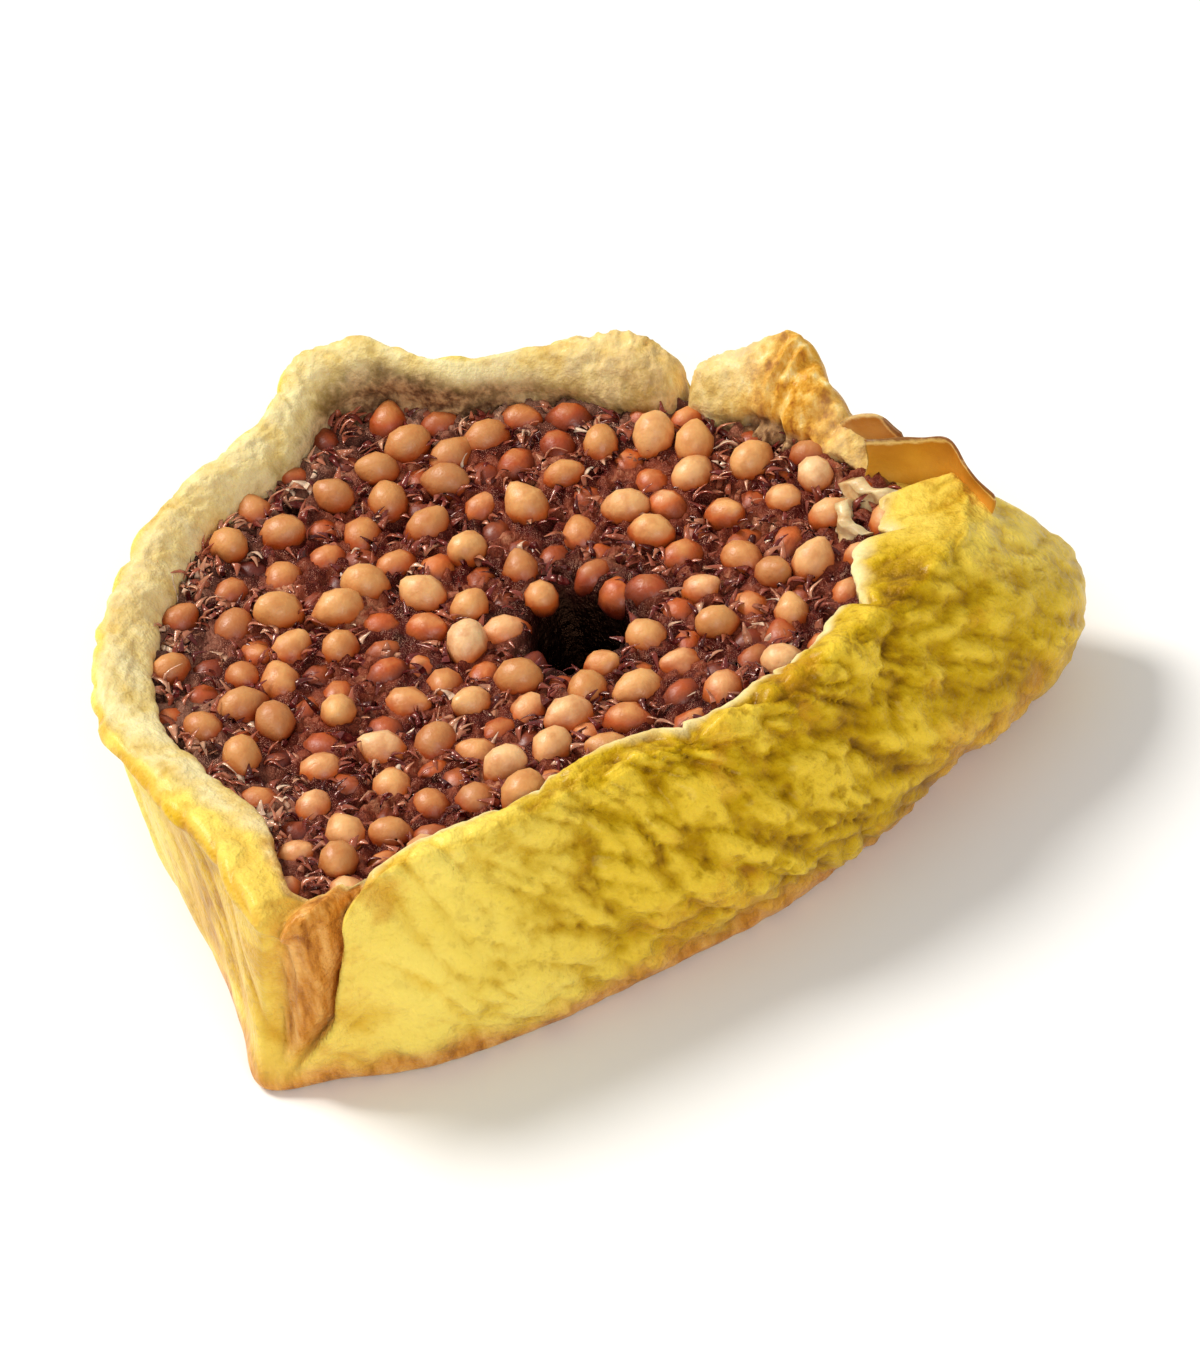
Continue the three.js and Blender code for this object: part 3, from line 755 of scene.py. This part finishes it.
def shapeStrands(count, seeds, edge, level, rng, up, spare):
    one = shapeStrand()
    bm = bmesh.new()
    tint = bm.verts.layers.float.new("tint")
    size = len(one.vertices)
    shown = [s["place"] for s in seeds if not s["buried"]]
    made = 0
    while made < count:
        kind, colour = rng.random(), rng.random()
        heading = rng.uniform(0, full)
        ahead = Vector((math.cos(heading), math.sin(heading), 0))
        if kind < strand["flakes"]:
            root = rng.choice(shown) + ahead * rng.uniform(*strand["flakeAway"])
            length, wide = rng.uniform(*strand["flakeLength"]), rng.uniform(*strand["flakeWidth"])
            tilt = rng.uniform(0.4, 1.3)
            thick, bend, rolled = 0.05, -rng.uniform(0.25, 0.55), rng.uniform(-0.6, 0.6)
        elif up > 0 and kind < strand["flakes"] + strand["fringe"]:
            angle = math.radians(rng.uniform(*strand["fringeAngles"]))
            root = Vector((math.cos(angle), math.sin(angle), 0))
            root *= ringAt("lip", root.x, root.y) - rng.uniform(0.0, strand["fringeIn"])
            length, wide = rng.uniform(*strand["fringeLength"]), rng.uniform(*strand["fringeWidth"])
            tilt = rng.uniform(0.5, 1.4)
            thick, bend, rolled = 0.06, -rng.uniform(0.2, 0.5), rng.uniform(-0.8, 0.8)
            colour = 0.6 + 0.4 * colour
        else:
            root = Vector((rng.uniform(-halfLength, halfLength), rng.uniform(-halfWidth, halfWidth), 0))
            length, wide = rng.uniform(*strand["length"]), rng.uniform(*strand["radius"])
            tilt = rng.uniform(1.0, 1.6)
            thick, bend, rolled = wide, rng.uniform(-0.4, 0.4), rng.uniform(0, full)
        x, y = root.x, root.y
        if math.hypot(x, y) > edge(x, y) or spare(x, y) > 0.04:
            continue
        ends = [Vector((x, y, 0)) + ahead * (length * math.sin(tilt) * share) for share in (0.0, 0.5, 1.0)]
        clear = strand["clear"]
        if any((end.x - s.x) ** 2 + (end.y - s.y) ** 2 < clear * clear for end in ends for s in shown):
            continue
        if any(spare(end.x, end.y) > 0.25 for end in ends):
            continue
        made += 1
        bm.from_mesh(one)
        bm.verts.ensure_lookup_table()
        turned = Matrix.Rotation(heading, 4, "Z") @ Matrix.Rotation(tilt, 4, "Y")
        turned = turned @ Matrix.Rotation(rolled, 4, "Z")
        start = Vector((x, y, level(x, y) + up * rng.uniform(-0.35, 0.1)))
        zone = 0.75 + 0.3 * rise(-0.25, 0.25, noise.noise(Vector((x * 0.3, y * 0.3, 5))))
        colour *= zone * (1 - 0.6 * hollowDusk(x, y, up))
        for v in bm.verts[-size:]:
            along = v.co.z
            p = Vector((v.co.x * thick, v.co.y * wide, along * length))
            p.x += bend * math.sin(along * math.pi)
            p = turned @ p + noise.noise_vector(Vector((x, y, along * 1.5))) * 0.12
            p.z *= up
            v.co = p + start
            v[tint] = colour
    bmesh.ops.recalc_face_normals(bm, faces=bm.faces)
    return bm


def strandMaterial():
    material, tree, shader, place = newMaterial("figFibre")
    tint = attributeNode(tree, "tint")
    colour = rampNode(tree, tint, [(0.0, "#3A0A10"), (0.33, "#6E2424"), (0.65, "#A85A40"), (0.88, "#C88C6C"),
                                   (1.0, "#EAC6A8")])
    tree.links.new(colour, shader.inputs["Base Color"])
    fine = noiseNode(tree, place, 0.3, 2)
    tree.links.new(rangeNode(tree, fine, 0.3, 0.7, 0.18, 0.4), shader.inputs["Roughness"])
    shader.inputs["Coat Weight"].default_value = 0.5
    shader.inputs["Coat Roughness"].default_value = 0.08
    shader.inputs["Specular Tint"].default_value = srgb("#FFC49C")
    shader.inputs["Subsurface Weight"].default_value = 0.2
    shader.inputs["Subsurface Radius"].default_value = (1.0, 0.4, 0.3)
    shader.inputs["Subsurface Scale"].default_value = 0.3 * mm
    return material


def pulpEdge(x, y):  # the pulp goes in under the lip, but stays inside the wall
    wall = min(ringAt("widest", x, y), ringAt("crest", x, y)) - 0.9
    pinch = fold["depth"] * bell(degreesOf(Vector((x, y))), 230, 6)
    return min(ringAt("lip", x, y) + pulp["reach"], wall - pinch)


def faceEdge(x, y):  # how far out the upper face's seeds go
    return min(ringAt("lip", x, y) + 0.3, pulpEdge(x, y) - 0.9)


def lowerEdge(x, y):
    return ringAt("foot", x, y) - 3.4


def lowerPulpEdge(x, y):
    return ringAt("foot", x, y) - 2.6


upperCounts, lowerCounts = (seed["upper"], seed["upperBuried"]), (seed["lower"], seed["lowerBuried"])
upperSeeds = placeSeeds(upperCounts, faceEdge, pulpLevel, random.Random(7), hollowShare, 1)
lowerSeeds = placeSeeds(lowerCounts, lowerEdge, lowerLevel, random.Random(8), noHollow, -1)
print("seeds placed:", len(upperSeeds), "above,", len(lowerSeeds), "below")
rindMesh = shapeRind()
low = Vector(min(v.co[k] for v in rindMesh.verts) for k in range(3))
high = Vector(max(v.co[k] for v in rindMesh.verts) for k in range(3))
centre = (low + high) / 2
print("rind is", [round(side, 1) for side in high - low], "mm, moved by", [round(c, 2) for c in centre])

finishPiece(rindMesh, "fig_rind", rindMaterial(), centre)
finishPiece(shapeFlaps(), "fig_flaps", flapMaterial(), centre)
pulpFinish = pulpMaterial()
finishPiece(shapePulp(upperSeeds, pulpEdge, pulpLevel, hollowShare, 1, pulp["step"]),
            "fig_pulp_upper", pulpFinish, centre)
finishPiece(shapePulp(lowerSeeds, lowerPulpEdge, lowerLevel, noHollow, -1, pulp["lowerStep"]),
            "fig_pulp_lower", pulpFinish, centre)
seedFinish = seedMaterial()
finishPiece(shapeSeeds(upperSeeds, random.Random(11), 1), "fig_seeds_upper", seedFinish, centre)
finishPiece(shapeSeeds(lowerSeeds, random.Random(12), -1), "fig_seeds_lower", seedFinish, centre)
fibre = strandMaterial()
finishPiece(shapeStrands(strand["upper"], upperSeeds, faceEdge, pulpLevel, random.Random(21), 1, hollowShare),
            "fig_fibres_upper", fibre, centre)
finishPiece(shapeStrands(strand["lower"], lowerSeeds, lowerEdge, lowerLevel, random.Random(22), -1, noHollow),
            "fig_fibres_lower", fibre, centre)

studio = {
    "floorSize": 3.0, "floorColour": "#F4F3F1",
    "world": 0.42,
    "elevation": 40, "roll": -12, "lens": 300, "distance": 0.5,
    "target": (0.0, 0.0, 0.0045),
    # each lamp's name, place, diameter, power and colour
    "lamps": (("key", (-0.35, 0.3, 0.55), 0.3, 4.9, "#FFFCF6"),
              ("front", (0.08, -0.52, 0.35), 0.3, 1.4, "#FFFFFF")),
}


def makeFloor():
    bm = bmesh.new()
    bmesh.ops.create_grid(bm, x_segments=1, y_segments=1, size=studio["floorSize"] / 2)
    mesh = bpy.data.meshes.new("floor")
    bm.to_mesh(mesh)
    bm.free()
    floor = bpy.data.objects.new("floor", mesh)
    bpy.context.collection.objects.link(floor)
    material, _, shader, _ = newMaterial("paperFloor")
    shader.inputs["Base Color"].default_value = srgb(studio["floorColour"])
    shader.inputs["Roughness"].default_value = 0.7
    mesh.materials.append(material)


def makeLamp(name, place, size, power, colour):  # aimed at the origin
    light = bpy.data.lights.new(name, "AREA")
    light.shape = "DISK"
    light.size = size
    light.energy = power
    light.color = srgb(colour)[:3]
    lamp = bpy.data.objects.new(name, light)
    lamp.location = place
    lamp.rotation_euler = (-Vector(place)).to_track_quat("-Z", "Y").to_euler()
    bpy.context.collection.objects.link(lamp)


def makeCamera():
    data = bpy.data.cameras.new("camera")
    data.lens = studio["lens"]
    camera = bpy.data.objects.new("camera", data)
    bpy.context.collection.objects.link(camera)
    tilt = math.radians(studio["elevation"])
    back = Vector((0, -math.cos(tilt), math.sin(tilt)))
    camera.location = Vector(studio["target"]) + back * studio["distance"]
    roll = Matrix.Rotation(math.radians(studio["roll"]), 3, "Z").to_quaternion()
    camera.rotation_euler = ((-back).to_track_quat("-Z", "Y") @ roll).to_euler()
    data.clip_start, data.clip_end = 0.005, 10
    bpy.context.scene.camera = camera


def makeWorld():
    world = bpy.data.worlds.new("studio")
    bpy.context.scene.world = world
    world.use_nodes = True
    background = world.node_tree.nodes["Background"]
    background.inputs["Color"].default_value = (1, 1, 1, 1)
    background.inputs["Strength"].default_value = studio["world"]


makeFloor()
for lamp in studio["lamps"]:
    makeLamp(*lamp)
makeWorld()
makeCamera()
bpy.context.scene.view_settings.view_transform = "Standard"
print("studio made")
